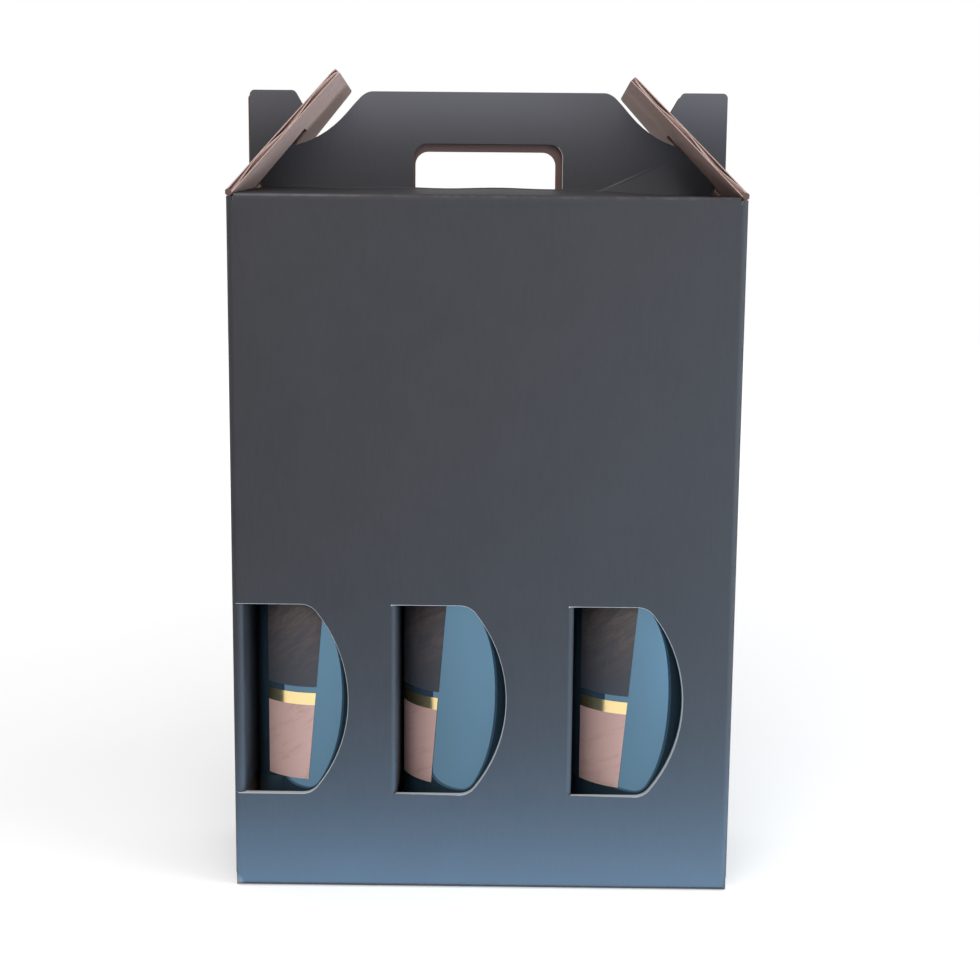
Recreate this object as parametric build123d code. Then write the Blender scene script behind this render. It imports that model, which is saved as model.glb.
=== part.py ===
from build123d import *
import os
from math import atan2, cos, hypot, radians, sin, tan

os.makedirs("parts", exist_ok=True)

# Carry box for three wine bottles, in millimetres: X along the front, Y from front to back, Z up.
# The origin is under the middle of the floor.

# Glass bottles with their closures
bottle_diameter = 75
body_height = 190
shoulder_height = 50
neck_length = 60
heel_radius = 5
punt_diameter = 52
punt_depth = 22
neck_diameter = 29
lip_diameter = 30.4
lip_height = 7
lip_drop = 4
shoulder_round_share = 0.62
capsule_rise = 2
capsule_wall = 0.4
glue_gap = 0.1

# Paper labels, wrapped round the bottle's body with a slanting right edge
label_wall = 0.3
label_wrap_angle = 45.5
label_slant_angle = 5.1
lower_label_foot = 51.2
lower_label_height = 46.7
label_spacing = 3.2
label_margin = 16.9
label_turn_angles = (-2, -26.5, -14)
label_lifts = (0, 0.2, -3.6)

# Corrugated board of the box, and the clearances between its layers and the bottles
board = 3
crease_radius = 0.5
layer_gap = 0.3
side_clear = 0.6
depth_clear = 1.5
middle_slack = 12.5
end_slack = 4.5
overrun = 20

# Walls, from the floor to the crease under the roof
head_room = 60
tab_width = 27
tab_slope = 9

# Windows punched in the front wall, D-shaped, each hinged inwards on its straight edge
window_width = 60
window_height = 101
window_foot = 51.3
window_bulge = 19.5
window_corner_radius = 10
corner_tuck = 0.6

# Floor flaps: front and rear ones hook into each other, side ones lie on top of them
seam_offset = 11
seam_hook = 14
seam_gap = 0.8
floor_inset = 0.2
side_flap_length = 72
side_flap_taper = 12

# Roof panels and the two leaves of the carrying handle
ridge_rise = 6.5
leaf_gap = 0.5
handle_height = 49.5
grip_length = 120
notch_depth = 27.6
notch_rise = 4.5
notch_inset = 30.5
barb_drop = 10.5
barb_reach = 6
barb_radius = 4
ear_width = 23.4
ear_inset = 6
ear_corner_radius = 2.5
ear_foot_rise = 10.5
shoulder_shares = ((0.26, 0), (0.32, 0.72))
hole_width = 77.6
hole_height = 22.6
hole_corner_radius = 6.8
rear_leaf_shift = 1.4
rear_leaf_drop = 1.5
rear_hole_margin = 2

# Side flaps, hinged on the side walls and slotted to drop over the ears of the handle
flap_length = 81
flap_side_gap = 1
flap_taper = 12
flap_corner_radius = 2.6
flap_closed_angle = 42
left_rest_angle = 49
right_rest_angle = 46
hinge_rise = 0.5
slot_clear = 1.2
slot_foot = 7.5
slot_corner_radius = 1.5
ear_clear = 0.8

# Places that follow from the sizes above
bottle_radius = bottle_diameter / 2
neck_foot = body_height + shoulder_height
bottle_height = neck_foot + neck_length
lip_top = bottle_height - lip_drop
lip_foot = lip_top - lip_height
upper_label_foot = lower_label_foot + lower_label_height + label_spacing
upper_label_height = body_height - upper_label_foot - label_margin
window_starts = [0]
window_starts.append(2 * board + bottle_diameter + 2 * side_clear)
window_starts.append(window_starts[1] + board + bottle_diameter + 2 * side_clear + middle_slack)
box_width = window_starts[2] + board + bottle_diameter + side_clear + end_slack + board
box_depth = bottle_diameter + 2 * depth_clear + 2 * board
half_width = box_width / 2
half_depth = box_depth / 2
front_inside = -half_depth + board
fold_radius = crease_radius + board
wall_height = bottle_height + head_room
hinge_height = wall_height + hinge_rise
wall_top = wall_height - fold_radius
side_wall_top = hinge_height - board / 2 - layer_gap
side_floor = board + layer_gap
wall_foot = side_floor + fold_radius + crease_radius
ridge_height = wall_height + ridge_rise
handle_top = ridge_height + handle_height
leaf_face = leaf_gap / 2 + board
hinge_x = half_width - board / 2
creases = [max(-half_width + start, -half_width + board) for start in window_starts]
bottle_places = [crease + board + side_clear + bottle_radius for crease in creases]
bottle_feet = (side_floor + board, board, side_floor + board)


def plan_face(width, depth, radius):
    """Rectangle of the box's plan, with every corner but the rear left one rounded."""
    corners = Rectangle(width, depth).vertices().sort_by(Axis.Y)
    rear_right = corners[2:].sort_by(Axis.X)[-1]
    return fillet([*corners[:2], rear_right], radius)


def board_strip(points, plane, reach):
    """Board folded along a path of mid-thickness points, and reach wide to both sides of the plane."""
    path = FilletPolyline(*points, radius=crease_radius + board / 2)
    return extrude(plane * trace(path, line_width=board), amount=reach, both=True)


def between(low, high):
    """Block from a lowest to a highest corner."""
    size = [top - foot for foot, top in zip(low, high)]
    return Pos(*low) * Box(*size, align=(Align.MIN, Align.MIN, Align.MIN))


# Walls: a tube closed by a glue tab inside the rear left corner
def walls():
    outside = plan_face(box_width, box_depth, fold_radius)
    inside = plan_face(box_width - 2 * board, box_depth - 2 * board, crease_radius)
    tube = Pos(0, 0, wall_foot) * extrude(outside - inside, amount=side_wall_top - wall_foot)
    for side in (-1, 1):
        relief = Box(box_width, fold_radius, overrun, align=(Align.CENTER, Align.CENTER, Align.MIN))
        tube -= Pos(0, side * (half_depth - fold_radius / 2), wall_top) * relief
    seam_y = half_depth - board
    seam_low = (-half_width, seam_y - fold_radius, wall_foot)
    seam = between(seam_low, (-half_width + fold_radius, seam_y, wall_top))
    fold = Cylinder(fold_radius, wall_top, align=(Align.CENTER, Align.CENTER, Align.MIN))
    tube -= seam - Pos(-half_width + fold_radius, seam_y - fold_radius, 0) * fold
    tab_left = -half_width + board / 2
    tab_right = -half_width + board + tab_width
    tab_outline = Polyline(
        (tab_left, wall_foot),
        (tab_right, wall_foot + tab_slope),
        (tab_right, wall_top - tab_slope),
        (tab_left, wall_top),
        close=True,
    )
    tab = extrude(Plane.XZ * make_face(tab_outline), amount=board)
    corner_keep = plan_face(box_width, box_depth - 2 * board, fold_radius)
    rear_fold = mirror(extrude(corner_keep, amount=wall_height), about=Plane.XZ)
    return tube + (Pos(0, seam_y, 0) * tab & rear_fold)


# Windows: each D is cut on three sides and stands inside as a divider, folded at its straight edge.
# The first one's straight edge is the box's own corner, so it folds right back along the side wall.
def window_face():
    straight = window_width - window_bulge
    outline = Polyline((straight, window_height), (0, window_height), (0, 0), (straight, 0))
    bulge = ThreePointArc((straight, 0), (window_width, window_height / 2), (straight, window_height))
    face = make_face([*outline.edges(), *bulge.edges()])
    return fillet(face.vertices().sort_by(Axis.X)[-2:], window_corner_radius)


def divider(crease, start):
    front = Plane((-half_width + start, -half_depth, window_foot), (1, 0, 0), (0, -1, 0))
    cut_out = extrude(front * window_face(), amount=-board)
    beyond = between((crease, -half_depth, 0), (half_width, half_depth, wall_height))
    axis = Axis((crease, front_inside, 0), (0, 0, 1))
    flap = (cut_out & beyond).rotate(axis, 90)
    quarter = make_face(
        [
            Line((0, 0), (0, -board)),
            CenterArc((0, 0), board, -90, 90),
            Line((board, 0), (0, 0)),
        ]
    )
    bend = Pos(crease, front_inside, window_foot) * extrude(quarter, amount=window_height)
    if start > 0:
        return cut_out & beyond, flap + bend
    corner_low = (-half_width, -half_depth, window_foot)
    corner = between(corner_low, (crease, front_inside + corner_tuck, window_foot + window_height))
    fold = bend + mirror(bend, about=Plane.YZ.offset(crease))
    return cut_out + corner, Pos(0, corner_tuck, 0) * (flap + fold)


# Floor: front and rear flaps hook together along a stepped seam, with the side flaps above them
def floor_flaps():
    outside = extrude(plan_face(box_width - 2 * floor_inset, box_depth, fold_radius), amount=wall_foot)
    seam = Polyline(
        (-half_width, -half_depth),
        (half_width, -half_depth),
        (half_width, -seam_offset - seam_gap / 2),
        (seam_hook, -seam_offset - seam_gap / 2),
        (-seam_hook, seam_offset - seam_gap / 2),
        (-half_width, seam_offset - seam_gap / 2),
        close=True,
    )
    front_part = extrude(make_face(seam), amount=wall_foot)
    mid_wall = half_depth - board / 2
    path = [(-mid_wall, wall_foot), (-mid_wall, board / 2), (seam_offset, board / 2)]
    front = board_strip(path, Plane.YZ, half_width) & front_part & outside
    flaps = front + front.rotate(Axis.Z, 180)
    taper = Polyline(
        (-half_width, front_inside + layer_gap),
        (-half_width + wall_foot, front_inside + layer_gap),
        (-half_width + side_flap_length, front_inside + side_flap_taper),
        (-half_width + side_flap_length, -front_inside - side_flap_taper),
        (-half_width + wall_foot, -front_inside - layer_gap),
        (-half_width, -front_inside - layer_gap),
        close=True,
    )
    mid_layer = side_floor + board / 2
    path = [(-hinge_x, wall_foot), (-hinge_x, mid_layer), (-half_width + side_flap_length, mid_layer)]
    left = board_strip(path, Plane.XZ, half_depth) & extrude(make_face(taper), amount=wall_height)
    return flaps + left + mirror(left, about=Plane.YZ)


# Roof and handle: each long wall folds in to the ridge and up into one leaf of the handle
def roof_inset(height):
    """Distance of the roof's end from the box's side, clear of the flap that closes over it."""
    slope = radians(flap_closed_angle)
    rise = height - hinge_height + board / 2 / cos(slope)
    return board / 2 + rise / tan(slope) + ear_clear


def roof_outline():
    crease_end = half_width - roof_inset(wall_height)
    ridge_end = half_width - roof_inset(ridge_height)
    foot = wall_top - overrun
    corners = [(crease_end, foot), (crease_end, wall_height), (ridge_end, ridge_height)]
    return make_face(Polyline(*corners, *[(-x, z) for x, z in reversed(corners)], close=True))


def leaf_outline(hole_margin):
    ear_side = half_width - ear_inset
    ear_edge = ear_side - ear_width
    ear_foot = (ear_side, ridge_height + ear_foot_rise)
    notch_foot = (half_width - notch_inset, handle_top - notch_depth)
    notch_side = (ear_edge, notch_foot[1] + notch_rise)
    grip_end = grip_length / 2
    run = notch_foot[0] - grip_end
    pulls = [(grip_end + run * along, handle_top - notch_depth * down) for along, down in shoulder_shares]
    shoulder = Bezier((grip_end, handle_top), *pulls, notch_foot)
    notch = TangentArc(notch_foot, notch_side, tangent=shoulder % 1)
    barb = (ear_edge - barb_reach, handle_top - barb_drop)
    ear = FilletPolyline(
        notch_side,
        barb,
        (ear_edge, handle_top),
        (ear_side, handle_top),
        ear_foot,
        radius=(barb_radius, ear_corner_radius, ear_corner_radius),
    )
    foot = Polyline(
        ear_foot,
        (half_width - roof_inset(ridge_height) - 2 * rear_leaf_shift, ridge_height),
        (0, ridge_height),
        (0, handle_top),
        (grip_end, handle_top),
    )
    half = make_face([*shoulder.edges(), *notch.edges(), *ear.edges(), *foot.edges()])
    hole_half = hole_width / 2 - hole_margin
    hole = Rectangle(2 * hole_half, hole_height - hole_margin, align=(Align.CENTER, Align.MIN))
    hole = fillet(hole.vertices().sort_by(Axis.Y)[-2:], hole_corner_radius)
    return half + mirror(half, about=Plane.YZ) - Pos(0, ridge_height + crease_radius) * hole


def roof_and_leaf(hole_margin, shift, drop):
    pitch = atan2(ridge_rise, half_depth - leaf_face)
    mid_wall = half_depth - board / 2
    mid_leaf = leaf_face - board / 2
    under = board / 2 / cos(pitch)
    crease = (-mid_wall, wall_height + board / 2 * tan(pitch) - under)
    ridge = (-mid_leaf, wall_height + (half_depth - mid_leaf) * tan(pitch) - under)
    path = [(-mid_wall, wall_top), crease, ridge, (-mid_leaf, handle_top)]
    outline = roof_outline() + Pos(shift, -drop) * leaf_outline(hole_margin)
    return board_strip(path, Plane.YZ, half_width) & extrude(Plane.XZ * outline, amount=half_depth)


def carton():
    sheet = walls() + floor_flaps()
    for crease, start in zip(creases, window_starts):
        cut_out, stander = divider(crease, start)
        sheet = sheet - cut_out + stander
    sheet += roof_and_leaf(0, 0, 0)
    return sheet + roof_and_leaf(rear_hole_margin, rear_leaf_shift, rear_leaf_drop).rotate(Axis.Z, 180)


# Side flaps: board with a rounded bead on the hinge line, and a slot for the ears of both leaves
def side_flap(rest_angle):
    flap_half = half_depth - flap_side_gap
    outline = Polyline(
        (0, -flap_half),
        (flap_length, -flap_half + flap_taper),
        (flap_length, flap_half - flap_taper),
        (0, flap_half),
        close=True,
    )
    face = make_face(outline)
    face = fillet(face.vertices().sort_by(Axis.X)[-2:], flap_corner_radius)
    ear_run = hinge_x - (half_width - ear_inset - ear_width)
    slot_end = hypot(ear_run + rear_leaf_shift, handle_top - hinge_height) + ear_clear
    slot_width = 2 * (leaf_face + slot_clear)
    slot = RectangleRounded(slot_end - slot_foot, slot_width, slot_corner_radius)
    face -= Pos((slot_foot + slot_end) / 2, 0) * slot
    bead = Rot(90, 0, 0) * Cylinder(board / 2, 2 * flap_half)
    flap = extrude(face, amount=board / 2, both=True) + bead
    return Pos(-hinge_x, 0, hinge_height) * Rot(0, -rest_angle, 0) * flap


# Bottles: sealed glass turned about the axis, with a foil capsule over the mouth and two paper labels
def bottle():
    punt_radius = punt_diameter / 2
    neck_radius = neck_diameter / 2
    lip_radius = lip_diameter / 2
    punt_side = (punt_radius * sin(radians(45)), punt_depth * sin(radians(45)))
    punt = ThreePointArc((0, punt_depth), punt_side, (punt_radius, 0))
    foot = Line((punt_radius, 0), (bottle_radius - heel_radius, 0))
    heel = Bezier(foot @ 1, (bottle_radius, 0), (bottle_radius, heel_radius))
    body = Line(heel @ 1, (bottle_radius, body_height))
    shoulder = Bezier(
        (bottle_radius, body_height),
        (bottle_radius, body_height + shoulder_height * shoulder_round_share),
        (neck_radius, neck_foot - shoulder_height * shoulder_round_share),
        (neck_radius, neck_foot),
    )
    neck = Polyline(
        (neck_radius, neck_foot),
        (neck_radius, lip_foot),
        (lip_radius, lip_foot),
        (lip_radius, lip_top),
        (neck_radius, lip_top),
        (neck_radius, bottle_height),
        (0, bottle_height),
        (0, punt_depth),
    )
    lines = [*punt.edges(), *foot.edges(), *heel.edges(), *body.edges(), *shoulder.edges(), *neck.edges()]
    return revolve(Plane.XZ * make_face(lines), Axis.Z)


def capsule():
    inside = neck_diameter / 2 + glue_gap
    lip_inside = lip_diameter / 2 + glue_gap
    foot = neck_foot + capsule_rise
    crown = bottle_height + glue_gap
    outline = Polyline(
        (inside, foot),
        (inside + capsule_wall, foot),
        (inside + capsule_wall, lip_foot - capsule_wall - glue_gap),
        (lip_inside + capsule_wall, lip_foot - glue_gap),
        (lip_inside + capsule_wall, lip_top + glue_gap),
        (inside + capsule_wall, crown + capsule_wall),
        (0, crown + capsule_wall),
        (0, crown),
        (inside, crown),
        (lip_inside, lip_top + glue_gap),
        (lip_inside, lip_foot - glue_gap),
        (inside, lip_foot - capsule_wall - glue_gap),
        close=True,
    )
    return revolve(Plane.XZ * make_face(outline), Axis.Z)


def label(foot, height):
    inside = bottle_radius + glue_gap
    ring = Cylinder(inside + label_wall, height, align=(Align.CENTER, Align.CENTER, Align.MIN))
    ring -= Cylinder(inside, height, align=(Align.CENTER, Align.CENTER, Align.MIN))
    reach = bottle_height
    half_space = Box(reach, reach, reach, align=(Align.MAX, Align.CENTER, Align.CENTER))
    slant_middle = lower_label_foot + lower_label_height
    right_side = Pos(0, 0, slant_middle) * Rot(0, label_slant_angle, 0) * half_space
    left_side = Pos(0, 0, slant_middle) * Rot(0, 0, 180 - label_wrap_angle) * half_space
    return (Pos(0, 0, foot) * ring) & right_side & left_side


pieces = {
    "carton": carton(),
    "left_flap": side_flap(left_rest_angle),
    "right_flap": mirror(side_flap(right_rest_angle), about=Plane.YZ),
}
for row, name in enumerate(("left", "middle", "right")):
    stand = Pos(bottle_places[row], 0, bottle_feet[row])
    turned = stand * Pos(0, 0, label_lifts[row]) * Rot(0, 0, label_turn_angles[row])
    pieces[name + "_bottle"] = stand * bottle()
    pieces[name + "_capsule"] = stand * capsule()
    pieces[name + "_upper_label"] = turned * label(upper_label_foot, upper_label_height)
    pieces[name + "_lower_label"] = turned * label(lower_label_foot, lower_label_height)

for name, piece in pieces.items():
    export_step(piece, f"parts/{name}.step")
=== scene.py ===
import math
import bpy
from mathutils import Matrix, Vector


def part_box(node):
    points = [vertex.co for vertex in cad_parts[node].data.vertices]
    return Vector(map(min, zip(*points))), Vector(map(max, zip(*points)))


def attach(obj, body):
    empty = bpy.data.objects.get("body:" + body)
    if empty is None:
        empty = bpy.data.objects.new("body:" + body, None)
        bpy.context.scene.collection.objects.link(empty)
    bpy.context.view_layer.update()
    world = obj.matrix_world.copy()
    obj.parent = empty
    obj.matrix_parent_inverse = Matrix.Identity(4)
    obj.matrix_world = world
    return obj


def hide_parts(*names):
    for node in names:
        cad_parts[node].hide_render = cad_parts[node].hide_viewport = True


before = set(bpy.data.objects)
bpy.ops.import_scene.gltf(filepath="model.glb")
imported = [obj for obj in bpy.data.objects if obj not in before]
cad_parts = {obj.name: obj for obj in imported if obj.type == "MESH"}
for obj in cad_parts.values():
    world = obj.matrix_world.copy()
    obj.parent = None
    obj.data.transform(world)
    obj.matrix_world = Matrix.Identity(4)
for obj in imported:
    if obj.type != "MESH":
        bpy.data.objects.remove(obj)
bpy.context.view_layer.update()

# Bottles: dark glass moulded in two halves, full and corked, so next to no light comes through.
# They stand loose between the dividers, and their polished walls mirror what lies before the windows.
bottle_names = ("left", "middle", "right")
# The tint makes the walls a steel-blue mirror: a painted reflection of a bluish surround on the dark glass.
painted_reflection_glass_tint = (0.086, 0.167, 0.238, 1)
glass_ripple_scale = 38


def start_material(name):
    """A new material with its tree and its Principled shader."""
    material = bpy.data.materials.new(name)
    material.use_nodes = True
    tree = material.node_tree
    return material, tree, tree.nodes["Principled BSDF"]


def place_node(tree, kind, values=None, **settings):
    """A node of that kind in the tree, with its settings and the values of its input sockets."""
    node = tree.nodes.new(kind)
    for name, value in settings.items():
        setattr(node, name, value)
    for socket, value in (values or {}).items():
        node.inputs[socket].default_value = value
    return node


def dress_node(node_name, material):
    """Gives a solid of the frame its finished material."""
    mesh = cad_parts[node_name].data
    mesh.materials.clear()
    mesh.materials.append(material)


glass, tree, shader = start_material("bottle_glass")
shader.inputs["Base Color"].default_value = painted_reflection_glass_tint
shader.inputs["Roughness"].default_value = 0.035
shader.inputs["Metallic"].default_value = 0.82
where = place_node(tree, "ShaderNodeTexCoord")
ripple = place_node(tree, "ShaderNodeTexNoise", {"Scale": glass_ripple_scale, "Detail": 1.0})
tree.links.new(where.outputs["Object"], ripple.inputs["Vector"])
bump = place_node(tree, "ShaderNodeBump", {"Strength": 0.12, "Distance": 0.001})
tree.links.new(ripple.outputs["Fac"], bump.inputs["Height"])
tree.links.new(bump.outputs["Normal"], shader.inputs["Normal"])
for name in bottle_names:
    dress_node(name + "_bottle", glass)

# Capsules: thin foil sleeves, rolled down over cork and lip, with fine creases from the rolling.
# They are friction tight on the neck, and dark as the labels are.
capsule_colour = (0.035, 0.032, 0.036, 1)
foil_crease_scale = (420, 420, 40)

capsule_foil, tree, shader = start_material("capsule_foil")
shader.inputs["Base Color"].default_value = capsule_colour
shader.inputs["Metallic"].default_value = 0.7
where = place_node(tree, "ShaderNodeTexCoord")
stretch = place_node(tree, "ShaderNodeMapping", {"Scale": foil_crease_scale})
tree.links.new(where.outputs["Object"], stretch.inputs["Vector"])
crease = place_node(tree, "ShaderNodeTexNoise", {"Scale": 1.0, "Detail": 3.0})
tree.links.new(stretch.outputs["Vector"], crease.inputs["Vector"])
rub = place_node(tree, "ShaderNodeMapRange", {"To Min": 0.26, "To Max": 0.5})
tree.links.new(crease.outputs["Fac"], rub.inputs["Value"])
tree.links.new(rub.outputs["Result"], shader.inputs["Roughness"])
bump = place_node(tree, "ShaderNodeBump", {"Strength": 0.35, "Distance": 0.0004})
tree.links.new(crease.outputs["Fac"], bump.inputs["Height"])
tree.links.new(bump.outputs["Normal"], shader.inputs["Normal"])
for name in bottle_names:
    dress_node(name + "_capsule", capsule_foil)

# Upper labels: uncoated dark paper, slate below and umber above, under dry brush strokes in brown.
# They are glued round the body, and their right edge is cut on a slant.
slate_colour = (0.038, 0.043, 0.054, 1)
umber_colour = (0.047, 0.037, 0.035, 1)
stroke_colour = (0.12, 0.087, 0.073, 1)
stroke_turn = -0.7
stroke_size = (0.016, 0.016, 0.0032)
stroke_cut = (0.4, 0.62)
label_fineness = 900
fibre_depth = 0.0003

paper_fibre = bpy.data.node_groups.new("paper_fibre", "ShaderNodeTree")
paper_fibre.interface.new_socket("Place", in_out="INPUT", socket_type="NodeSocketVector")
paper_fibre.interface.new_socket("Fineness", in_out="INPUT", socket_type="NodeSocketFloat")
paper_fibre.interface.new_socket("Tone", in_out="OUTPUT", socket_type="NodeSocketFloat")
paper_fibre.interface.new_socket("Height", in_out="OUTPUT", socket_type="NodeSocketFloat")
entry = place_node(paper_fibre, "NodeGroupInput")
leave = place_node(paper_fibre, "NodeGroupOutput")
cloud = place_node(paper_fibre, "ShaderNodeTexNoise", {"Detail": 5.0, "Roughness": 0.62})
paper_fibre.links.new(entry.outputs["Place"], cloud.inputs["Vector"])
coarse = place_node(paper_fibre, "ShaderNodeMath", {1: 0.06}, operation="MULTIPLY")
paper_fibre.links.new(entry.outputs["Fineness"], coarse.inputs[0])
paper_fibre.links.new(coarse.outputs[0], cloud.inputs["Scale"])
lengthwise = place_node(paper_fibre, "ShaderNodeMapping", {"Scale": (1.0, 1.0, 0.16)})
paper_fibre.links.new(entry.outputs["Place"], lengthwise.inputs["Vector"])
hairs = place_node(paper_fibre, "ShaderNodeTexNoise", {"Detail": 2.0, "Roughness": 0.5})
paper_fibre.links.new(lengthwise.outputs["Vector"], hairs.inputs["Vector"])
paper_fibre.links.new(entry.outputs["Fineness"], hairs.inputs["Scale"])
blend = place_node(paper_fibre, "ShaderNodeMix", {"Factor": 0.42}, data_type="FLOAT")
paper_fibre.links.new(cloud.outputs["Fac"], blend.inputs["A"])
paper_fibre.links.new(hairs.outputs["Fac"], blend.inputs["B"])
paper_fibre.links.new(blend.outputs["Result"], leave.inputs["Tone"])
paper_fibre.links.new(hairs.outputs["Fac"], leave.inputs["Height"])


def lay_fibre(tree, fineness):
    """The paper_fibre group in a material's tree, on Object coordinates."""
    where = place_node(tree, "ShaderNodeTexCoord")
    fibre = place_node(tree, "ShaderNodeGroup", node_tree=paper_fibre)
    fibre.inputs["Fineness"].default_value = fineness
    tree.links.new(where.outputs["Object"], fibre.inputs["Place"])
    return where, fibre


def feel_fibre(tree, shader, height, strength, distance):
    """A bump from a height socket to the shader's normal."""
    bump = place_node(tree, "ShaderNodeBump", {"Strength": strength, "Distance": distance})
    tree.links.new(height, bump.inputs["Height"])
    tree.links.new(bump.outputs["Normal"], shader.inputs["Normal"])


def mix_colours(tree, mask, first, second):
    """A colour mix node from one colour to another by a mask socket."""
    mix = place_node(tree, "ShaderNodeMix", data_type="RGBA")
    tree.links.new(mask, mix.inputs["Factor"])
    for socket, colour in ((mix.inputs[6], first), (mix.inputs[7], second)):
        if isinstance(colour, tuple):
            socket.default_value = colour
        else:
            tree.links.new(colour, socket)
    return mix.outputs[2]


def draw_strokes(tree, where, turn, size, cut_off):
    """A mask of dry brush strokes: noise that is stretched along one direction and cut off."""
    lie = place_node(tree, "ShaderNodeMapping", {"Rotation": (0, turn, 0), "Scale": size},
                     vector_type="TEXTURE")
    tree.links.new(where.outputs["Object"], lie.inputs["Vector"])
    sweep = place_node(tree, "ShaderNodeTexNoise",
                       {"Scale": 1.0, "Detail": 6.0, "Roughness": 0.7, "Distortion": 1.1})
    tree.links.new(lie.outputs["Vector"], sweep.inputs["Vector"])
    cut = place_node(tree, "ShaderNodeMapRange", {"From Min": cut_off[0], "From Max": cut_off[1]})
    tree.links.new(sweep.outputs["Fac"], cut.inputs["Value"])
    return cut.outputs["Result"]


upper_paper, tree, shader = start_material("upper_label_paper")
where, fibre = lay_fibre(tree, label_fineness)
strokes = draw_strokes(tree, where, stroke_turn, stroke_size, stroke_cut)
label_low, label_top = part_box("left_upper_label")
high = place_node(tree, "ShaderNodeSeparateXYZ")
tree.links.new(where.outputs["Object"], high.inputs[0])
rise = place_node(tree, "ShaderNodeMapRange", {"From Min": label_low.z, "From Max": label_top.z})
tree.links.new(high.outputs["Z"], rise.inputs["Value"])
ground = mix_colours(tree, rise.outputs["Result"], slate_colour, umber_colour)
dry = place_node(tree, "ShaderNodeMath", operation="MULTIPLY")
tree.links.new(strokes, dry.inputs[0])
tree.links.new(rise.outputs["Result"], dry.inputs[1])
colour = mix_colours(tree, dry.outputs[0], ground, stroke_colour)
tree.links.new(colour, shader.inputs["Base Color"])
shader.inputs["Roughness"].default_value = 0.6
shader.inputs["Specular IOR Level"].default_value = 0.25
feel_fibre(tree, shader, fibre.outputs["Height"], 0.2, fibre_depth)
for name in bottle_names:
    dress_node(name + "_upper_label", upper_paper)

# Lower labels: rose paper with a hot-stamped gold foil band along the top.
# The strokes of the upper label carry on over the paper, fainter and in brown.
rose_colour = (0.43, 0.285, 0.262, 1)
rose_stroke_colour = (0.27, 0.16, 0.14, 1)
rose_stroke_turn = -0.6
rose_stroke_size = (0.024, 0.024, 0.006)
rose_stroke_cut = (0.52, 0.9)
gold_colour = (0.86, 0.66, 0.33, 1)
gold_band = 0.0065

for name in bottle_names:
    rose_paper, tree, shader = start_material(name + "_lower_label_paper")
    where, fibre = lay_fibre(tree, label_fineness)
    strokes = draw_strokes(tree, where, rose_stroke_turn, rose_stroke_size, rose_stroke_cut)
    paper = mix_colours(tree, strokes, rose_colour, rose_stroke_colour)
    high = place_node(tree, "ShaderNodeSeparateXYZ")
    tree.links.new(where.outputs["Object"], high.inputs[0])
    band_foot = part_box(name + "_lower_label")[1].z - gold_band
    band = place_node(tree, "ShaderNodeMath", {1: band_foot}, operation="GREATER_THAN")
    tree.links.new(high.outputs["Z"], band.inputs[0])
    colour = mix_colours(tree, band.outputs[0], paper, gold_colour)
    tree.links.new(colour, shader.inputs["Base Color"])
    tree.links.new(band.outputs[0], shader.inputs["Metallic"])
    polish = place_node(tree, "ShaderNodeMapRange", {"To Min": 0.55, "To Max": 0.2})
    tree.links.new(band.outputs[0], polish.inputs["Value"])
    tree.links.new(polish.outputs["Result"], shader.inputs["Roughness"])
    shader.inputs["Specular IOR Level"].default_value = 0.25
    feel_fibre(tree, shader, fibre.outputs["Height"], 0.12, fibre_depth)
    dress_node(name + "_lower_label", rose_paper)

# Carton: one sheet of fluted board, die-cut, creased, folded and glued along a tab.
# Outside it has a satin charcoal print on the paper, inside it is bare kraft, and cuts show the flutes.
# This piece is the solid with its printed, bare and cut faces told apart, and the sheet's small bends.
half_width = 0.130
half_depth = 0.042
board = 0.003
fold_radius = 0.0035
wall_top = 0.3565
fold_top = 0.360
roof_inset = 0.0032
roof_fold_drop = 0.0045
ridge = 0.3665
leaf_face = 0.00325
leaf_rise = 0.001
leaf_top = 0.416
hole_half = 0.045
hole_top = 0.393
ear_middle = 0.12
divider_creases = (-0.127, -0.0478, 0.0439)
divider_span = (0.0513, 0.1523)
divider_end = 0.022
divider_tuck = 0.0007
window_slack = 0.001
tab_start = 0.03
floor_flap_top = 0.0074
floor_fold_top = 0.008
floor_flap_end = (0.129, 0.1299)
floor_edge_depth = 0.004
floor_centre = 0.02
floor_pull_share = 0.9
inner_share = 0.99
hinge_reach = 0.1285
hinge_height = 0.3605
bead_radius = 0.00172
hair = 0.0001
smooth_angle = math.radians(25)

face_kinds = range(5)
printed_face, kraft_face, cut_face, rim_face, painted_shade_face = face_kinds
slant_share = 0.05
turned_share = 0.02
facing_share = 0.5
end_on_share = 0.95


def work_on(piece):
    """Selects this piece alone and makes it active."""
    bpy.ops.object.select_all(action="DESELECT")
    piece.select_set(True)
    bpy.context.view_layer.objects.active = piece


def copy_of_solid(node_name, piece_name):
    """A new piece with a merged copy of a solid's mesh."""
    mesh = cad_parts[node_name].data.copy()
    mesh.materials.clear()
    piece = bpy.data.objects.new(piece_name, mesh)
    bpy.context.scene.collection.objects.link(piece)
    work_on(piece)
    bpy.ops.mesh.customdata_custom_splitnormals_clear()
    bpy.ops.object.mode_set(mode="EDIT")
    bpy.ops.mesh.select_all(action="SELECT")
    bpy.ops.mesh.remove_doubles(threshold=0.000002)
    bpy.ops.mesh.dissolve_limited(angle_limit=0.002)
    bpy.ops.object.mode_set(mode="OBJECT")
    return piece


def depth_in_walls(x, y):
    """How deep a point lies under the outer face of the four walls."""
    over_x = abs(x) - half_width + fold_radius
    over_y = abs(y) - half_depth + fold_radius
    corner = math.hypot(max(over_x, 0), max(over_y, 0))
    return fold_radius - corner - min(max(over_x, over_y), 0)


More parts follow.
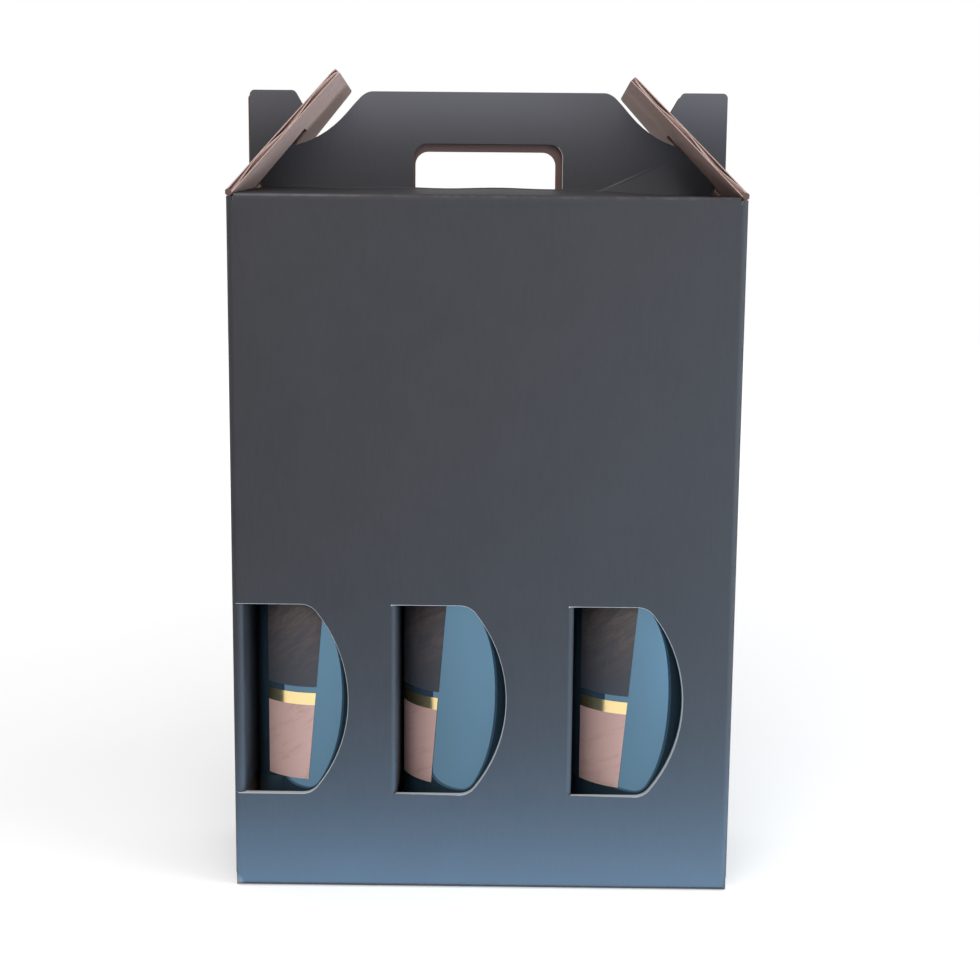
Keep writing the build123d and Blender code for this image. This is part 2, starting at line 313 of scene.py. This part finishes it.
def face_kind(face):
    """Which finish a face of the sheet has, told from its place and the way it faces."""
    x, y, z = face.center
    across, out, up = face.normal
    if z > wall_top + hair and abs(x) < half_width - roof_inset:
        on_paper = abs(out) > slant_share
        if on_paper and out * y > 0:
            return printed_face
        in_grip = abs(x) < hole_half and z < hole_top
        # The leaves' inner kraft and cut faces above the ridge take the darkened kraft: painted shade from
        # the gap between the leaves.
        if z > ridge and (on_paper or in_grip or abs(x) > ear_middle):
            return painted_shade_face
        return kraft_face if on_paper else cut_face
    deep = depth_in_walls(x, y)
    if z > wall_top - hair and abs(out) > facing_share and abs(x) > half_width - board - hair:
        return printed_face
    if z < floor_flap_top:
        flap_end = abs(across) > end_on_share and floor_flap_end[0] < abs(x) < floor_flap_end[1]
        if flap_end or abs(up) < slant_share and deep > floor_edge_depth:
            return cut_face
        inside = Vector((floor_pull_share * x, floor_pull_share * y, floor_centre))
        return printed_face if face.normal.dot(face.center - inside) > 0 else kraft_face
    in_span = divider_span[0] < z < divider_span[1] and abs(up) < facing_share
    if in_span and x < 2 * board - half_width + hair and y < board - half_depth + divider_tuck:
        return printed_face
    for crease in divider_creases:
        in_fold = -hair < x - crease < board + hair and y < board - half_depth + hair
        if in_fold and across > turned_share:
            return printed_face
    rear_end = y > half_depth - board and x < hair - half_width
    if deep < hair:
        return cut_face if rear_end else printed_face
    if deep > board + hair:
        if y > tab_start or across < -facing_share:
            return kraft_face
        return printed_face if across > facing_share else cut_face
    if deep > board - hair:
        return kraft_face
    # The cut faces round the windows are pale: bare paper, with a painted highlight for the lit edge.
    by_window = y < 0 and divider_span[0] - window_slack < z < divider_span[1] + window_slack
    return rim_face if by_window else cut_face


carton = copy_of_solid("carton", "folded_carton")
for slot in face_kinds:
    carton.data.materials.append(None)
for polygon in carton.data.polygons:
    polygon.material_index = face_kind(polygon)

# A narrow pale rim runs round the windows and at the right end of the hand hole: bare paper where the die cut
# the print, and a painted highlight where the edge catches light.
rim_width = 0.00035
hole_end_span = (0.036, 0.042)
hole_end_top = 0.392

bpy.ops.object.mode_set(mode="EDIT")
bpy.ops.mesh.select_mode(type="EDGE")
bpy.ops.mesh.select_all(action="DESELECT")
bpy.ops.object.mode_set(mode="OBJECT")
kinds_beside = {}
for polygon in carton.data.polygons:
    for key in polygon.edge_keys:
        kinds_beside.setdefault(key, set()).add(polygon.material_index)
rim_kinds = ({printed_face, rim_face}, {printed_face, painted_shade_face})
for edge in carton.data.edges:
    first, second = (carton.data.vertices[index].co for index in edge.vertices)
    spot = (first + second) / 2
    in_height = divider_span[0] - window_slack < spot.z < divider_span[1] + window_slack
    round_window = spot.y < hair - half_depth and in_height
    round_hole = hole_end_span[0] < spot.x < hole_end_span[1] and ridge < spot.z < hole_end_top
    edge.select = kinds_beside.get(edge.key) in rim_kinds and (round_window or round_hole)
bpy.ops.object.mode_set(mode="EDIT")
bpy.ops.mesh.bevel(offset=rim_width, segments=1, affect="EDGES", material=rim_face)
bpy.ops.mesh.select_mode(type="VERT")
bpy.ops.object.mode_set(mode="OBJECT")
for vertex in carton.data.vertices:
    vertex.co.y = max(vertex.co.y, -half_depth)

# Roof and handle are cut into a grid of faces, so that they can bend, and along the front leaf's crease.
bend_foot = 0.3601
bend_top = 0.43
bend_step = 0.006
columns = 42
columns_start = -0.124
rows = 8
rows_start = 0.369
crease_start = (0.060, 0, ridge)
crease_facing = (0.409, 0, -0.912)
crease_slack = 0.00002


def cut_across(piece, axis, places, low, high):
    """Cuts the faces that lie between two heights along planes square to an axis."""
    for place in places:
        bpy.ops.object.mode_set(mode="OBJECT")
        for polygon in piece.data.polygons:
            polygon.select = low <= polygon.center.z <= high
        bpy.ops.object.mode_set(mode="EDIT")
        spot = [0, 0, 0]
        spot[axis] = place
        facing = [0, 0, 0]
        facing[axis] = 1
        bpy.ops.mesh.bisect(plane_co=spot, plane_no=facing)
    bpy.ops.object.mode_set(mode="OBJECT")


cut_across(carton, 0, [columns_start + bend_step * step for step in range(columns)], bend_foot, bend_top)
cut_across(carton, 2, [rows_start + bend_step * step for step in range(rows)], bend_foot, bend_top)
for polygon in carton.data.polygons:
    polygon.select = polygon.center.z > bend_foot
bpy.ops.object.mode_set(mode="EDIT")
bpy.ops.mesh.bisect(plane_co=crease_start, plane_no=crease_facing)
bpy.ops.object.mode_set(mode="OBJECT")


def past_crease(place):
    """How far a place lies past the line along which the front leaf is creased."""
    return (place.x - crease_start[0]) * crease_facing[0] + (place.z - ridge) * crease_facing[2]


on_crease = set()
for vertex in carton.data.vertices:
    if vertex.co.y < 0 and abs(past_crease(vertex.co)) < crease_slack:
        on_crease.add(vertex.index)


def board_depth(place):
    """Share of the board's thickness from its printed face, 0, to its bare one, 1."""
    x, y, z = place
    for crease in divider_creases:
        stands = -hair < x - crease < board + hair and board - half_depth + hair < y < divider_end
        if stands and divider_span[0] - hair < z < divider_span[1] + hair:
            return (crease + board - x) / board
    if z > ridge + leaf_rise:
        return (leaf_face - abs(y)) / board
    if z > fold_top - roof_fold_drop and abs(x) < half_width - roof_inset:
        slope = (ridge - fold_top) / (half_depth - leaf_face)
        roof = fold_top + (half_depth - abs(y)) * slope
        return max(0, min(1, (roof - z) / board))
    deep = depth_in_walls(x, y) / board
    if z < floor_fold_top and deep > inner_share:
        return min(1, z / board)
    return max(0, min(1, deep))


depth = carton.data.attributes.new("board_depth", "FLOAT", "POINT")
run = carton.data.attributes.new("flute_run", "FLOAT", "POINT")
for vertex in carton.data.vertices:
    depth.data[vertex.index].value = board_depth(vertex.co)
    on_side_wall = abs(vertex.co.x) > half_width - board - hair
    run.data[vertex.index].value = vertex.co.y if on_side_wall else vertex.co.x

# The sheet's small bends: a roof that ripples and sinks to the right, a bowed grip and a creased leaf.
fold_slack = 0.0002
ripple_height = 0.0003
ripple_length = 0.0085
ripple_start = 1
ripple_fade = (0.085, 0.11)
sink_depth = 0.003
sink_span = (0.03, 0.115)
sink_fade = 0.022
bow_depth = 0.0018
bow_fade = (0.06, 0.088)
leaf_bend = 0.26
leaf_bend_foot = 0.004
roof_end_share = 0.9
leaf_bend_fade = 0.014
flap_slope = 0.95
flap_room = 0.005


def ease(value, low, high):
    """0 below low, 1 above high, and smooth between them."""
    share = max(0, min(1, (value - low) / (high - low)))
    return share * share * (3 - 2 * share)


for vertex in carton.data.vertices:
    x, y, z = vertex.co
    in_corner = abs(x) > half_width - fold_radius + fold_slack and abs(y) > half_depth - fold_radius - hair
    if in_corner and abs(z - wall_top) < fold_slack:
        vertex.co.z = hinge_height - bead_radius - hair
    if z < fold_top + fold_slack:
        continue
    on_roof = min(1, (half_depth - abs(y)) / (half_depth - leaf_face))
    hold = on_roof * (1 - ease(z, ridge, ridge + sink_fade))
    ripple = ripple_height * math.sin(x / ripple_length + ripple_start)
    ripple *= 1 - ease(abs(x), *ripple_fade)
    sink = sink_depth * ease(x, *sink_span) if y < 0 else 0
    vertex.co.z += hold * (ripple - sink)
    grip = (1 - ease(abs(x), *bow_fade)) * ease(z, ridge, leaf_top)
    vertex.co.y += bow_depth * grip
    under_flap = hinge_height + (hinge_reach - x) * flap_slope - flap_room - z
    if y < 0 and z > ridge - leaf_bend_foot and on_roof > roof_end_share:
        past = max(0, past_crease(Vector((x, y, z))))
        vertex.co.y -= past * leaf_bend * ease(under_flap, 0, leaf_bend_fade)
work_on(carton)
bpy.ops.object.shade_smooth_by_angle(angle=smooth_angle)
for edge in carton.data.edges:
    if on_crease.issuperset(edge.vertices):
        edge.use_edge_sharp = True

# Wear on the print: folds rub pale in patches where two of the sheet's outer faces meet.
rubbed_colour = (0.11, 0.11, 0.115, 1)
rub_reach = 0.0018

fold_wear = bpy.data.node_groups.new("fold_wear", "ShaderNodeTree")
fold_wear.interface.new_socket("Place", in_out="INPUT", socket_type="NodeSocketVector")
fold_wear.interface.new_socket("Reach", in_out="INPUT", socket_type="NodeSocketFloat")
fold_wear.interface.new_socket("Mask", in_out="OUTPUT", socket_type="NodeSocketFloat")
entry = place_node(fold_wear, "NodeGroupInput")
leave = place_node(fold_wear, "NodeGroupOutput")
split = place_node(fold_wear, "ShaderNodeSeparateXYZ")
fold_wear.links.new(entry.outputs["Place"], split.inputs[0])


def math_node(tree, operation, *inputs):
    """A math node on sockets or numbers, and its output socket."""
    node = place_node(tree, "ShaderNodeMath", operation=operation)
    for place, value in enumerate(inputs):
        if isinstance(value, (int, float)):
            node.inputs[place].default_value = value
        else:
            tree.links.new(value, node.inputs[place])
    return node.outputs[0]


aside = math_node(fold_wear, "ABSOLUTE", split.outputs["X"])
from_side = math_node(fold_wear, "SUBTRACT", half_width, aside)
forth = math_node(fold_wear, "ABSOLUTE", split.outputs["Y"])
from_face = math_node(fold_wear, "SUBTRACT", half_depth, forth)
from_top = math_node(fold_wear, "ABSOLUTE", math_node(fold_wear, "SUBTRACT", fold_top, split.outputs["Z"]))
from_end = math_node(fold_wear, "MINIMUM", split.outputs["Z"], from_top)
least = math_node(fold_wear, "MINIMUM", math_node(fold_wear, "MINIMUM", from_side, from_face), from_end)
most = math_node(fold_wear, "MAXIMUM", math_node(fold_wear, "MAXIMUM", from_side, from_face), from_end)
total = math_node(fold_wear, "ADD", math_node(fold_wear, "ADD", from_side, from_face), from_end)
middle = math_node(fold_wear, "SUBTRACT", math_node(fold_wear, "SUBTRACT", total, least), most)
near = math_node(fold_wear, "SUBTRACT", 1.0, math_node(fold_wear, "DIVIDE", middle, entry.outputs["Reach"]))
patchy = place_node(fold_wear, "ShaderNodeTexNoise", {"Scale": 160.0, "Detail": 4.0})
fold_wear.links.new(entry.outputs["Place"], patchy.inputs["Vector"])
spots = place_node(fold_wear, "ShaderNodeMapRange", {"From Min": 0.4, "From Max": 0.85})
fold_wear.links.new(patchy.outputs["Fac"], spots.inputs["Value"])
clear = math_node(fold_wear, "MAXIMUM", near, 0.0)
worn = math_node(fold_wear, "MULTIPLY", clear, spots.outputs["Result"])
fold_wear.links.new(worn, leave.inputs["Mask"])

# Three marks bare the paper: the front fold at its left end, the leaf's crease, and a worn bottom corner.
bared_colour = (0.2, 0.195, 0.2, 1)
fold_mark_drop = 0.0006
fold_mark_reach = 0.0008
fold_mark_share = 0.3
fold_mark_end = 0.085
fold_mark_fade = 0.04
crease_mark_middle = 0.067
crease_mark_half = 0.02
crease_mark_reach = 0.0006
crease_mark_drop = 0.002
crease_mark_share = 0.4
worn_corner = (-0.129, -0.041, 0.002)
worn_corner_reach = 0.004

worn_marks = bpy.data.node_groups.new("worn_marks", "ShaderNodeTree")
worn_marks.interface.new_socket("Place", in_out="INPUT", socket_type="NodeSocketVector")
worn_marks.interface.new_socket("Mask", in_out="OUTPUT", socket_type="NodeSocketFloat")
entry = place_node(worn_marks, "NodeGroupInput")
leave = place_node(worn_marks, "NodeGroupOutput")
split = place_node(worn_marks, "ShaderNodeSeparateXYZ")
worn_marks.links.new(entry.outputs["Place"], split.inputs[0])
at_x, at_y, at_z = (split.outputs[axis] for axis in "XYZ")


def fade_out(tree, distance, reach):
    """1 at no distance, down to 0 at the reach."""
    fade = place_node(tree, "ShaderNodeMapRange", {"From Max": reach, "To Min": 1.0, "To Max": 0.0})
    tree.links.new(distance, fade.inputs["Value"])
    return fade.outputs["Result"]


above_fold = math_node(worn_marks, "SUBTRACT", at_z, fold_top - fold_mark_drop)
off_fold = math_node(worn_marks, "ABSOLUTE", above_fold)
on_fold = math_node(worn_marks, "MULTIPLY", fade_out(worn_marks, off_fold, fold_mark_reach), fold_mark_share)
on_front = math_node(worn_marks, "LESS_THAN", at_y, fold_radius - half_depth)
past_end = math_node(worn_marks, "ADD", at_x, fold_mark_end)
front_left = math_node(worn_marks, "MULTIPLY", on_front, fade_out(worn_marks, past_end, fold_mark_fade))
fold_line = math_node(worn_marks, "MULTIPLY", on_fold, front_left)
from_start = math_node(worn_marks, "SUBTRACT", at_x, crease_start[0])
run_x = math_node(worn_marks, "MULTIPLY", from_start, crease_facing[0])
above_ridge = math_node(worn_marks, "SUBTRACT", at_z, ridge)
run_z = math_node(worn_marks, "MULTIPLY", above_ridge, crease_facing[2])
off_crease = math_node(worn_marks, "ABSOLUTE", math_node(worn_marks, "ADD", run_x, run_z))
from_middle = math_node(worn_marks, "ABSOLUTE", math_node(worn_marks, "SUBTRACT", at_x, crease_mark_middle))
above_foot = math_node(worn_marks, "GREATER_THAN", at_z, ridge - crease_mark_drop)
on_leaf = math_node(worn_marks, "MULTIPLY", above_foot, math_node(worn_marks, "LESS_THAN", at_y, 0.0))
along_crease = math_node(worn_marks, "MULTIPLY", on_leaf, fade_out(worn_marks, from_middle, crease_mark_half))
on_line = fade_out(worn_marks, off_crease, crease_mark_reach)
crease_line = math_node(worn_marks, "MULTIPLY", along_crease, on_line)
faint_crease = math_node(worn_marks, "MULTIPLY", crease_line, crease_mark_share)
corner_away = place_node(worn_marks, "ShaderNodeVectorMath", {1: worn_corner}, operation="DISTANCE")
worn_marks.links.new(entry.outputs["Place"], corner_away.inputs[0])
corner_spot = fade_out(worn_marks, corner_away.outputs["Value"], worn_corner_reach)
lines = math_node(worn_marks, "MAXIMUM", fold_line, faint_crease)
worn_marks.links.new(math_node(worn_marks, "MAXIMUM", lines, corner_spot), leave.inputs["Mask"])

# The sheet's five finishes: charcoal print with painted light on the leaf's top, bare kraft, cut edge with
# its flutes and painted shade in their hollows, a pale rim of bare paper with a painted highlight, and kraft
# darkened with painted shade.
print_colour = (0.0188, 0.0178, 0.0212, 1)
print_light_colour = (0.0245, 0.0233, 0.0272, 1)
# Painted light: the print on the handle leaf turns lighter towards the top, as if lit from above.
painted_top_light_colour = (0.085, 0.082, 0.094, 1)
painted_top_light_span = (0.38, 0.43)
print_fineness = 700
kraft_colour = (0.4, 0.28, 0.25, 1)
kraft_dark_colour = (0.3, 0.2, 0.17, 1)
kraft_fineness = 600
liner_colour = (0.5, 0.45, 0.42, 1)
# Painted shade: the hollows of the flutes, between medium and liners, are dark.
painted_hollow_shade_colour = (0.1, 0.055, 0.037, 1)
cut_fineness = 900
cut_step = 0.0008
flute_pitch = 0.0065
flute_swing_share = 0.36
medium_share = 0.08
liner_start_share = 0.37
# Pale rim: bare paper brightened by a painted highlight.
pale_rim_and_highlight_colour = (0.34, 0.35, 0.36, 1)
# Painted shade: kraft darkened for the gap between the handle's leaves, the ears and the flaps' bead ends.
painted_shade_kraft_colour = (0.075, 0.036, 0.03, 1)

print_skin, tree, shader = start_material("charcoal_print")
where, fibre = lay_fibre(tree, print_fineness)
tone = place_node(tree, "ShaderNodeMapRange", {"From Min": 0.35, "From Max": 0.65})
tree.links.new(fibre.outputs["Tone"], tone.inputs["Value"])
printed = mix_colours(tree, tone.outputs["Result"], print_colour, print_light_colour)
high = place_node(tree, "ShaderNodeSeparateXYZ")
tree.links.new(where.outputs["Object"], high.inputs[0])
# Painted light: the leaf's upper part is lightened by height.
painted_top_light = place_node(tree, "ShaderNodeMapRange", {"From Min": painted_top_light_span[0], "From Max": painted_top_light_span[1]},
                     interpolation_type="SMOOTHSTEP")
tree.links.new(high.outputs["Z"], painted_top_light.inputs["Value"])
printed = mix_colours(tree, painted_top_light.outputs["Result"], printed, painted_top_light_colour)
wear = place_node(tree, "ShaderNodeGroup", node_tree=fold_wear)
wear.inputs["Reach"].default_value = rub_reach
tree.links.new(where.outputs["Object"], wear.inputs["Place"])
printed = mix_colours(tree, wear.outputs["Mask"], printed, rubbed_colour)
marks = place_node(tree, "ShaderNodeGroup", node_tree=worn_marks)
tree.links.new(where.outputs["Object"], marks.inputs["Place"])
colour = mix_colours(tree, marks.outputs["Mask"], printed, bared_colour)
tree.links.new(colour, shader.inputs["Base Color"])
gloss = place_node(tree, "ShaderNodeMapRange",
                   {"From Min": 0.3, "From Max": 0.7, "To Min": 0.58, "To Max": 0.68})
tree.links.new(fibre.outputs["Tone"], gloss.inputs["Value"])
tree.links.new(gloss.outputs["Result"], shader.inputs["Roughness"])
shader.inputs["Specular IOR Level"].default_value = 0.28
feel_fibre(tree, shader, fibre.outputs["Height"], 0.16, fibre_depth)

kraft, tree, shader = start_material("bare_kraft")
where, fibre = lay_fibre(tree, kraft_fineness)
tone = place_node(tree, "ShaderNodeMapRange", {"From Min": 0.3, "From Max": 0.7})
tree.links.new(fibre.outputs["Tone"], tone.inputs["Value"])
colour = mix_colours(tree, tone.outputs["Result"], kraft_dark_colour, kraft_colour)
tree.links.new(colour, shader.inputs["Base Color"])
shader.inputs["Roughness"].default_value = 0.75
feel_fibre(tree, shader, fibre.outputs["Height"], 0.25, fibre_depth)

cut_edge, tree, shader = start_material("cut_edge")
where, fibre = lay_fibre(tree, cut_fineness)
deep = place_node(tree, "ShaderNodeAttribute", attribute_name="board_depth")
along = place_node(tree, "ShaderNodeAttribute", attribute_name="flute_run")
turns = math_node(tree, "MULTIPLY", along.outputs["Fac"], 2 * math.pi / flute_pitch)
wave = math_node(tree, "MULTIPLY_ADD", math_node(tree, "SINE", turns), flute_swing_share, 0.5)
off_wave = math_node(tree, "ABSOLUTE", math_node(tree, "SUBTRACT", deep.outputs["Fac"], wave))
medium = math_node(tree, "LESS_THAN", off_wave, medium_share)
off_middle = math_node(tree, "ABSOLUTE", math_node(tree, "SUBTRACT", deep.outputs["Fac"], 0.5))
liner = math_node(tree, "GREATER_THAN", off_middle, liner_start_share)
paper_here = math_node(tree, "MAXIMUM", medium, liner)
bare = mix_colours(tree, fibre.outputs["Tone"], kraft_colour, liner_colour)
# The hollows between the papers take the dark colour: painted shade.
colour = mix_colours(tree, paper_here, painted_hollow_shade_colour, bare)
tree.links.new(colour, shader.inputs["Base Color"])
shader.inputs["Roughness"].default_value = 0.85
feel_fibre(tree, shader, paper_here, 0.8, cut_step)

cut_rim_and_highlight, tree, shader = start_material("cut_rim_and_highlight")
shader.inputs["Base Color"].default_value = pale_rim_and_highlight_colour
shader.inputs["Roughness"].default_value = 0.8

painted_shade_kraft, tree, shader = start_material("painted_shade_kraft")
shader.inputs["Base Color"].default_value = painted_shade_kraft_colour
shader.inputs["Roughness"].default_value = 0.75

for slot, material in enumerate((print_skin, kraft, cut_edge, cut_rim_and_highlight, painted_shade_kraft)):
    carton.data.materials[slot] = material
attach(carton, "box")
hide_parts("carton")

# Side flaps: the ends of the side walls, creased so that they fold in over the handle's ears.
# Each is a sandwich of two papers with the waved medium between them, cut out by the same die.
flap_length = 0.081
flap_half = 0.041
flap_taper = 0.012
flap_corner = 0.0026
slot_foot = 0.0075
slot_end = 0.0488
slot_half = 0.00445
liner_wall = 0.00042
medium_wall = 0.00032
sheet_margin = 0.005
die_height = 0.008
slot_die_height = 0.02
skin_slack = 0.0002
bead_zone = 0.0003
bead_end_share = 0.9
bead_back_share = -0.3
flap_rests = {"left_flap": (-1, 49), "right_flap": (1, 46)}


def carve(piece, tool, operation):
    """Applies a boolean of that operation to the piece, and removes the tool."""
    work_on(piece)
    modifier = piece.modifiers.new("carve", "BOOLEAN")
    modifier.operation = operation
    modifier.object = tool
    modifier.solver = "EXACT"
    bpy.ops.object.modifier_apply(modifier="carve")
    bpy.data.objects.remove(tool)


def die_block():
    """Solid of the flap's outline with its slot, taller than the board, that cuts the layers."""
    bpy.ops.object.select_all(action="DESELECT")
    bpy.ops.mesh.primitive_plane_add(size=1, location=(0, 0, 0))
    die = bpy.context.object
    for vertex in die.data.vertices:
        far = vertex.co.x > 0
        half = flap_half - flap_taper if far else flap_half
        v = half if vertex.co.y > 0 else -half
        vertex.co = (flap_length if far else 0, v, -die_height / 2)
    bpy.ops.object.mode_set(mode="EDIT")
    bpy.ops.mesh.select_all(action="DESELECT")
    bpy.ops.object.mode_set(mode="OBJECT")
    for vertex in die.data.vertices:
        vertex.select = vertex.co.x > flap_length / 2
    bpy.ops.object.mode_set(mode="EDIT")
    bpy.ops.mesh.bevel(offset=flap_corner, segments=5, affect="VERTICES")
    bpy.ops.mesh.select_all(action="SELECT")
    bpy.ops.mesh.extrude_region_move(TRANSFORM_OT_translate={"value": (0, 0, die_height)})
    bpy.ops.mesh.select_all(action="SELECT")
    bpy.ops.mesh.normals_make_consistent(inside=False)
    bpy.ops.object.mode_set(mode="OBJECT")
    slot_middle = (slot_foot + slot_end) / 2
    bpy.ops.mesh.primitive_cube_add(size=1, location=(slot_middle, 0, 0))
    slot_die = bpy.context.object
    slot_die.scale = (slot_end - slot_foot, 2 * slot_half, slot_die_height)
    bpy.ops.object.transform_apply(location=True, rotation=True, scale=True)
    carve(die, slot_die, "DIFFERENCE")
    return die


def cut_layer(wall, shape):
    """A paper of that wall, whose mid-face follows shape(v), cut to the flap's outline."""
    bpy.ops.object.select_all(action="DESELECT")
    bpy.ops.mesh.primitive_grid_add(x_subdivisions=20, y_subdivisions=156, size=1)
    sheet = bpy.context.object
    for vertex in sheet.data.vertices:
        u = (vertex.co.x + 0.5) * (flap_length + 2 * sheet_margin) - sheet_margin
        v = vertex.co.y * (2 * flap_half + 2 * sheet_margin)
        vertex.co = (u, v, shape(v))
    thicken = sheet.modifiers.new("thicken", "SOLIDIFY")
    thicken.thickness = wall
    thicken.offset = 0
    bpy.ops.object.modifier_apply(modifier="thicken")
    carve(sheet, die_block(), "INTERSECT")
    return sheet


def flute_shape(v):
    """Height of the waved medium at a place across the flap."""
    swing = (board - 2 * liner_wall - medium_wall) / 2
    return swing * math.sin(2 * math.pi * v / flute_pitch)


for node_name, (side, rest) in flap_rests.items():
    outer_paper = cut_layer(liner_wall, lambda v: (board - liner_wall) / 2)
    inner_paper = cut_layer(liner_wall, lambda v: (liner_wall - board) / 2)
    medium_sheet = cut_layer(medium_wall, flute_shape)
    bpy.ops.mesh.primitive_cylinder_add(vertices=24, radius=bead_radius, depth=2 * flap_half,
                                        rotation=(math.pi / 2, 0, 0))
    bead = bpy.context.object
    bpy.ops.object.transform_apply(location=True, rotation=True, scale=True)
    work_on(outer_paper)
    for part in (inner_paper, medium_sheet, bead):
        part.select_set(True)
    bpy.ops.object.join()
    flap = bpy.context.object
    flap.name = node_name + "_board"
    flap.data.materials.clear()
    for material in (print_skin, kraft, painted_shade_kraft):
        flap.data.materials.append(material)
    for polygon in flap.data.polygons:
        printed_side = polygon.center.z > board / 2 - skin_slack and polygon.normal.z > facing_share
        on_bead = polygon.center.x < bead_zone
        bead_end = on_bead and abs(polygon.normal.y) > bead_end_share
        bead_back = on_bead and polygon.normal.z > bead_back_share
        # Bead ends take the darkened kraft: painted shade.
        polygon.material_index = 2 if bead_end else 0 if printed_side or bead_back else 1
    lean = math.radians(rest)
    along = Vector((-side * math.cos(lean), 0, math.sin(lean)))
    outwards = Vector((side * math.sin(lean), 0, math.cos(lean)))
    across = outwards.cross(along)
    turn = Matrix((along, across, outwards)).transposed().to_4x4()
    flap.matrix_world = Matrix.Translation((side * hinge_reach, 0, hinge_height)) @ turn
    work_on(flap)
    bpy.ops.object.transform_apply(location=True, rotation=True, scale=True)
    for vertex in flap.data.vertices:
        vertex.co.x = max(-half_width, min(half_width, vertex.co.x))
    bpy.ops.object.shade_smooth_by_angle(angle=smooth_angle)
    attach(flap, node_name)
    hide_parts(node_name)

# Studio: a pale floor without an end and a white surround, both brighter to the camera and in mirrors.
# One soft lamp hangs overhead, one above the camera, and a cool one stands at the right.
# Two cool sheens, on the floor before the box and to its right, reach only the gloss of the carton.
floor_colour = (0.8, 0.8, 0.8, 1)
floor_glow_reach = (0.3, 1.6)
floor_glow = (0.2, 0.7)
surround_levels = (0.5, 1.0)
warm_light = (1, 0.98, 0.98)

bpy.ops.object.select_all(action="DESELECT")
bpy.ops.mesh.primitive_plane_add(size=30, location=(0, 0, 0))
floor = bpy.context.object
floor.name = "studio_floor"


def seen_directly(tree):
    """1 for rays from the camera, a mirror or glass, and 0 for the rest."""
    seen = place_node(tree, "ShaderNodeLightPath")
    direct = math_node(tree, "MAXIMUM", seen.outputs["Is Camera Ray"], seen.outputs["Is Glossy Ray"])
    return math_node(tree, "MAXIMUM", direct, seen.outputs["Is Transmission Ray"])


floor_skin, tree, shader = start_material("studio_floor")
shader.inputs["Base Color"].default_value = floor_colour
shader.inputs["Roughness"].default_value = 0.9
shader.inputs["Specular IOR Level"].default_value = 0.1
direct = seen_directly(tree)
glow = place_node(tree, "ShaderNodeEmission", {"Color": (1, 1, 1, 1)})
where = place_node(tree, "ShaderNodeTexCoord")
away = place_node(tree, "ShaderNodeVectorMath", operation="LENGTH")
tree.links.new(where.outputs["Object"], away.inputs[0])
spread = place_node(tree, "ShaderNodeMapRange",
                    {"From Min": floor_glow_reach[0], "From Max": floor_glow_reach[1],
                     "To Min": floor_glow[0], "To Max": floor_glow[1]})
tree.links.new(away.outputs["Value"], spread.inputs["Value"])
tree.links.new(math_node(tree, "MULTIPLY", direct, spread.outputs["Result"]), glow.inputs["Strength"])
both = place_node(tree, "ShaderNodeAddShader")
tree.links.new(shader.outputs["BSDF"], both.inputs[0])
tree.links.new(glow.outputs["Emission"], both.inputs[1])
tree.links.new(both.outputs["Shader"], tree.nodes["Material Output"].inputs["Surface"])
floor.data.materials.append(floor_skin)

world = bpy.data.worlds.new("studio")
bpy.context.scene.world = world
world.use_nodes = True
tree = world.node_tree
back = tree.nodes["Background"]
back.inputs["Color"].default_value = (1, 1, 1, 1)
level = place_node(tree, "ShaderNodeMapRange", {"To Min": surround_levels[0], "To Max": surround_levels[1]})
tree.links.new(seen_directly(tree), level.inputs["Value"])
tree.links.new(level.outputs["Result"], back.inputs["Strength"])


def hang_lamp(name, place, aim, size, power, colour):
    """A soft rectangular lamp at a place, turned to face a point."""
    lamp = bpy.data.lights.new(name, "AREA")
    lamp.shape = "RECTANGLE"
    lamp.size, lamp.size_y = size
    lamp.energy = power
    lamp.color = colour
    holder = bpy.data.objects.new(name, lamp)
    bpy.context.scene.collection.objects.link(holder)
    holder.location = place
    holder.rotation_euler = (Vector(aim) - Vector(place)).to_track_quat("-Z", "Y").to_euler()
    holder.visible_camera = False
    return holder


hang_lamp("overhead", place=(-0.1, -0.5, 1.4), aim=(0, 0, 0.25), size=(1.2, 1.2),
          power=9.5, colour=warm_light)
hang_lamp("key", place=(-0.15, -1.3, 1.0), aim=(0, 0, 0.2), size=(1.2, 0.9),
          power=9, colour=warm_light)
hang_lamp("right_lamp", place=(0.85, -0.42, 0.22), aim=(-0.1, 0, 0.3), size=(0.5, 0.5),
          power=9, colour=(0.74, 0.88, 1.0))
foot_strip = hang_lamp("foot_strip", place=(0.05, -0.0745, 0.0006), aim=(0.05, -0.0745, 1),
                       size=(0.5, 0.063), power=1.75, colour=(0.33, 0.66, 1.0))
side_sheen = hang_lamp("side_sheen", place=(0.48, -0.62, 0.06), aim=(0.1, 0, 0.08),
                       size=(0.4, 0.12), power=4.4, colour=(0.4, 0.72, 1.0))
shiny_board = bpy.data.collections.new("shiny_board")
shiny_board.objects.link(carton)
for sheen in (foot_strip, side_sheen):
    sheen.visible_diffuse = False
    sheen.light_linking.receiver_collection = shiny_board

# Camera: the photograph's own place, tilt and lens, found from the box's corners.
# It stands about 0.7 m off, looks down by 7 degrees, and is turned and rolled by less than one.
tilt = math.radians(7.372)
swing = math.radians(-0.307)
roll = math.radians(0.542)
camera_place = (0.0065, -0.7160, 0.3000)
sensor_width = 36
photo_pixels = 980
focal_pixels = 1335

forward = Vector((math.sin(swing) * math.cos(tilt), math.cos(swing) * math.cos(tilt), -math.sin(tilt)))
level_right = Vector((math.cos(swing), -math.sin(swing), 0))
level_up = level_right.cross(forward)
right = level_right * math.cos(roll) + level_up * math.sin(roll)
up = right.cross(forward)
facing = Matrix((right, up, -forward)).transposed().to_4x4()
lens = bpy.data.cameras.new("photo_camera")
lens.sensor_width = sensor_width
lens.lens = sensor_width * focal_pixels / photo_pixels
camera = bpy.data.objects.new("photo_camera", lens)
bpy.context.scene.collection.objects.link(camera)
camera.matrix_world = Matrix.Translation(camera_place) @ facing
bpy.context.scene.camera = camera
bpy.context.scene.view_settings.view_transform = "Standard"
